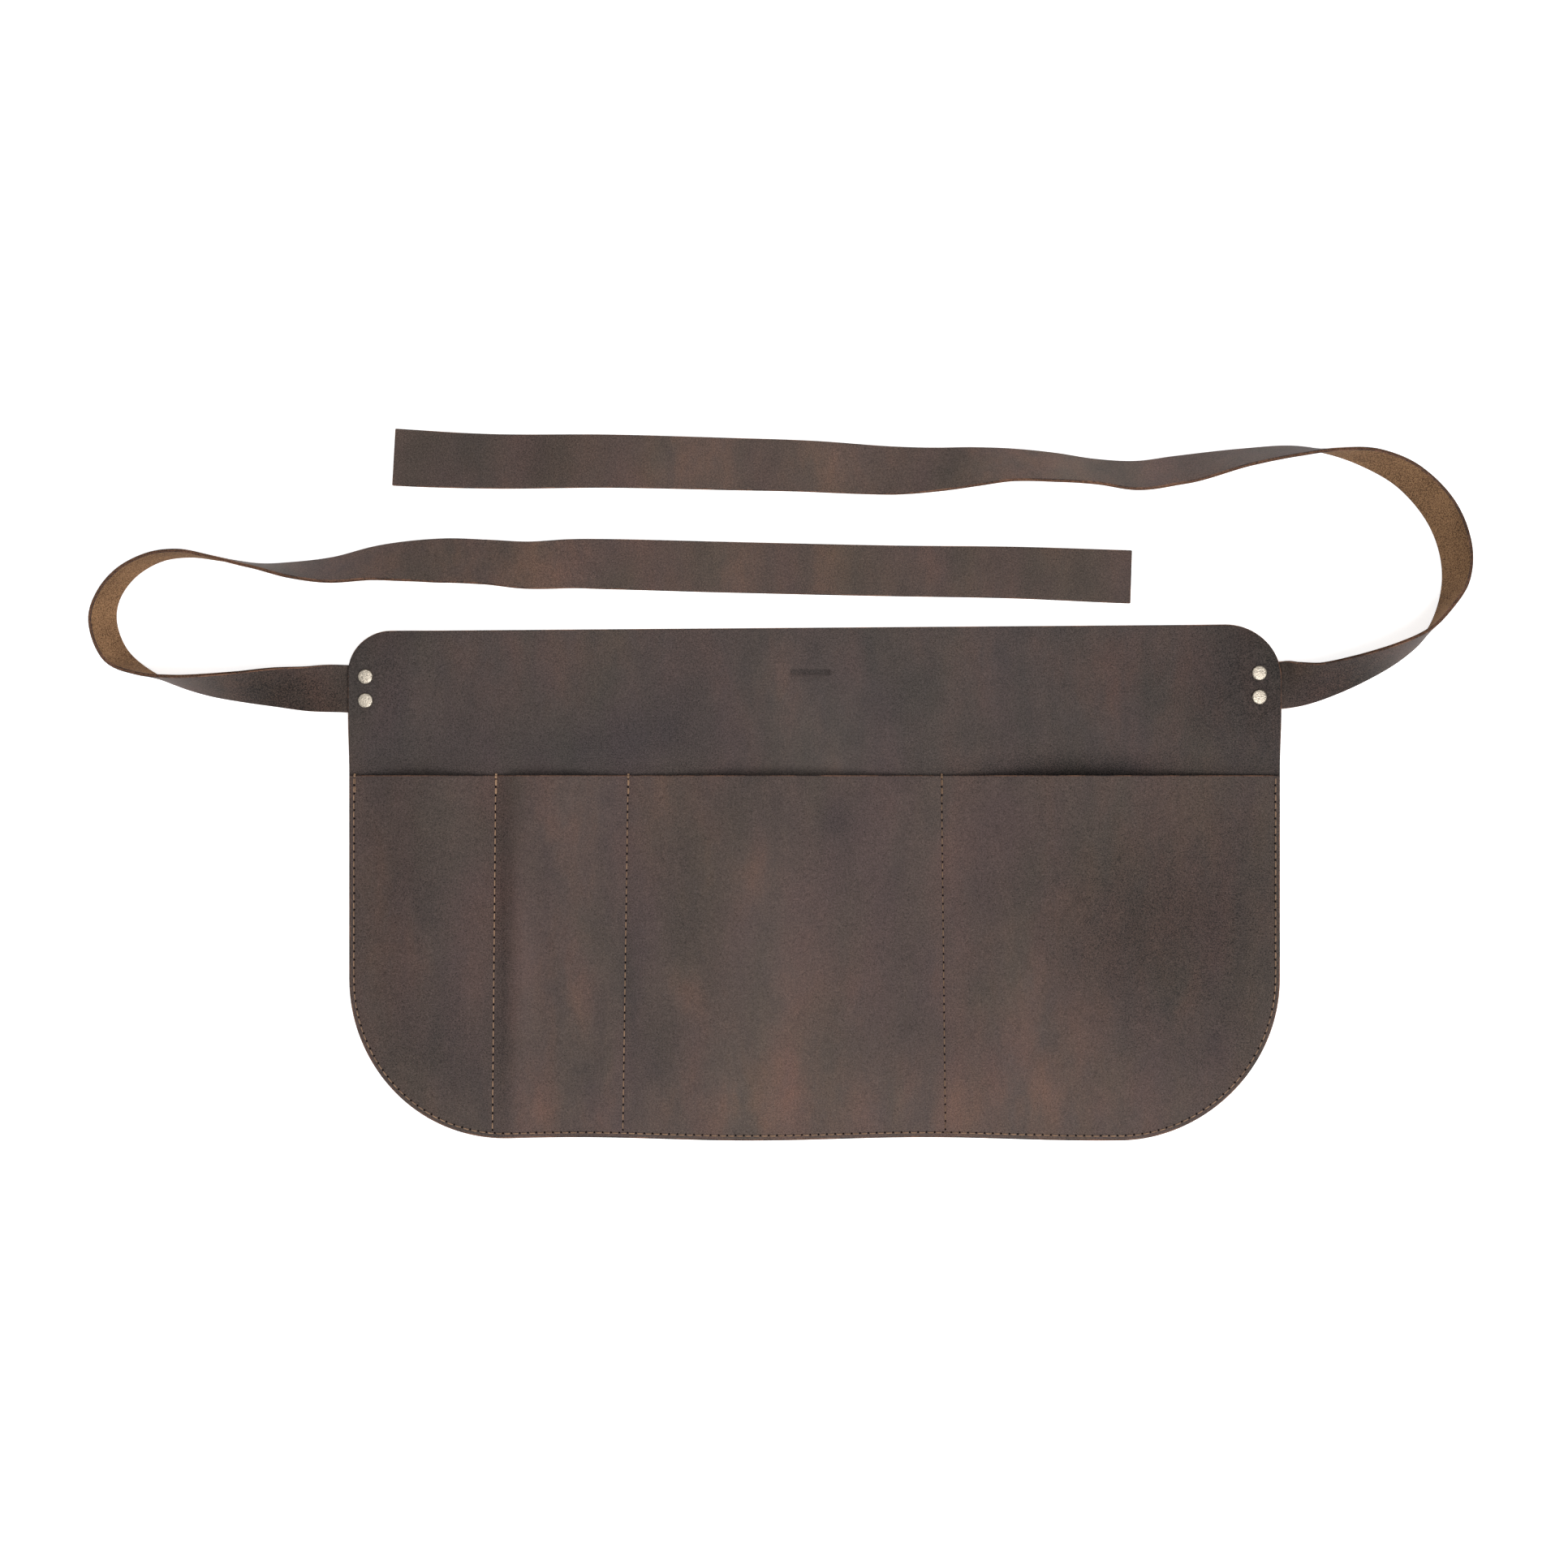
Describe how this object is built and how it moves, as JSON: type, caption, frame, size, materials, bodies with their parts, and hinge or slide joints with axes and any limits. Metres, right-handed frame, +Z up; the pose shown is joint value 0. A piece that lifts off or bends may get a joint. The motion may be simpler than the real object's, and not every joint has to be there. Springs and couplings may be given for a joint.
{
  "type": "leather waist apron",
  "caption": "Leather waist apron lying face up, with a stitched pocket panel and long leather ties riveted under its upper corners.",
  "frame": {"origin": "centre of the footprint, on the surface that the apron lies on", "axes": "+Z up out of the face, +Y towards the waist edge and the ties' free runs, +X to the right of the face"},
  "size_m": [0.8874, 0.465, 0.0311],
  "materials": {
    "body_leather": "waxed pull-up, matt, dark grey-brown",
    "pocket_leather": "waxed pull-up, matt, mottled warm brown",
    "strap_leather": "waxed pull-up grain side, tan suede flesh side",
    "rivet_metal": "polished nickel plate"
  },
  "bodies": {
    "root": {"apron_body": "body_leather", "pocket_panel": "pocket_leather", "strap_left": "strap_leather", "strap_right": "strap_leather", "rivet_left_upper": "rivet_metal", "rivet_left_lower": "rivet_metal", "rivet_right_upper": "rivet_metal", "rivet_right_lower": "rivet_metal"}
  },
  "joints": []
}
